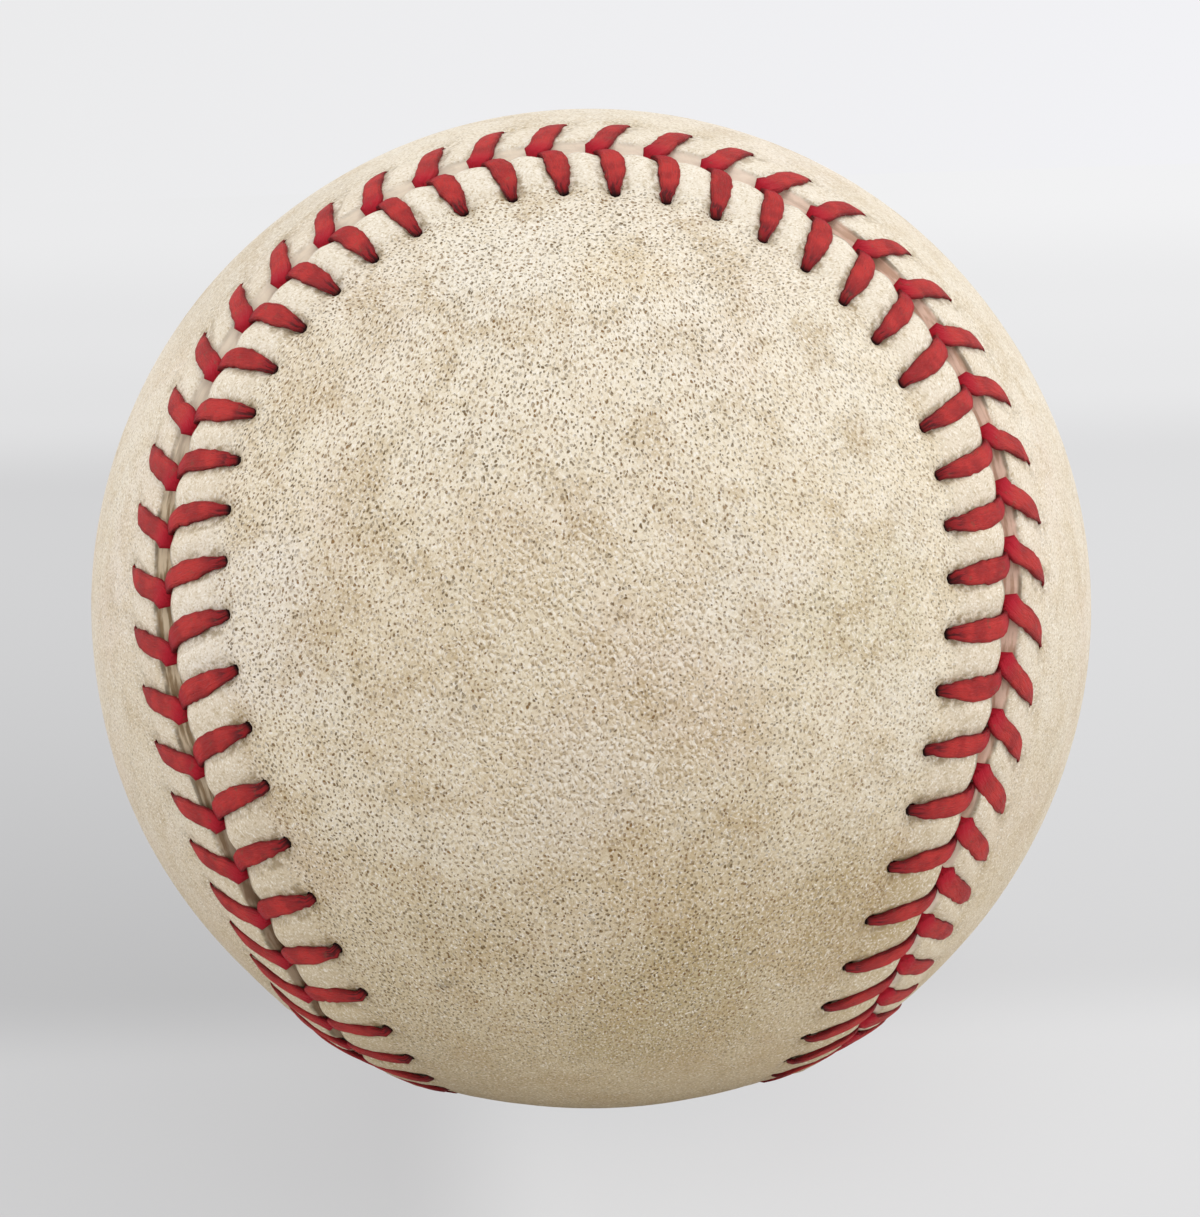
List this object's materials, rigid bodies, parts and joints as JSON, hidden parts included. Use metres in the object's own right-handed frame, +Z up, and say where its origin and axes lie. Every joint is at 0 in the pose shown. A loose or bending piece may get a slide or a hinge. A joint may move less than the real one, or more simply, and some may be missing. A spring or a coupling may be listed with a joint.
{
  "type": "baseball",
  "caption": "Worn leather baseball: two waisted panels sewn with raised red V stitches over a cushioned cork centre, wound wool and cement.",
  "frame": {"origin": "centre of the ball", "axes": "+Z up, through the waist of the upper panel; -Z through the waist of the lower panel, on which the ball rests; +X through the middle of the lower panel's lobe that faces the picture; +Y through a lobe of the upper panel"},
  "size_m": [0.0742, 0.0742, 0.0742],
  "materials": {
    "cork": "matte cork and rubber composition",
    "black_rubber": "moulded, matte",
    "red_rubber": "moulded, matte",
    "grey_wool": "wound wool yarn",
    "white_wool": "wound wool yarn",
    "finishing_yarn": "wound polyester and cotton yarn",
    "cement": "brushed rubber cement, dry",
    "cover_leather": "full-grain cowhide, rubbed with mud and worn",
    "red_thread": "waxed cotton thread"
  },
  "bodies": {
    "root": {"cork_core": "cork", "black_shell_lower": "black_rubber", "black_shell_upper": "black_rubber", "cushion_washer": "red_rubber", "red_shell_lower": "red_rubber", "red_shell_upper": "red_rubber", "winding_1_grey_wool": "grey_wool", "winding_2_white_wool": "white_wool", "winding_3_grey_wool": "grey_wool", "winding_4_finishing_yarn": "finishing_yarn", "cement_coat": "cement", "cover_panel_lower": "cover_leather", "cover_panel_upper": "cover_leather", "stitch_thread": "red_thread"}
  },
  "joints": []
}
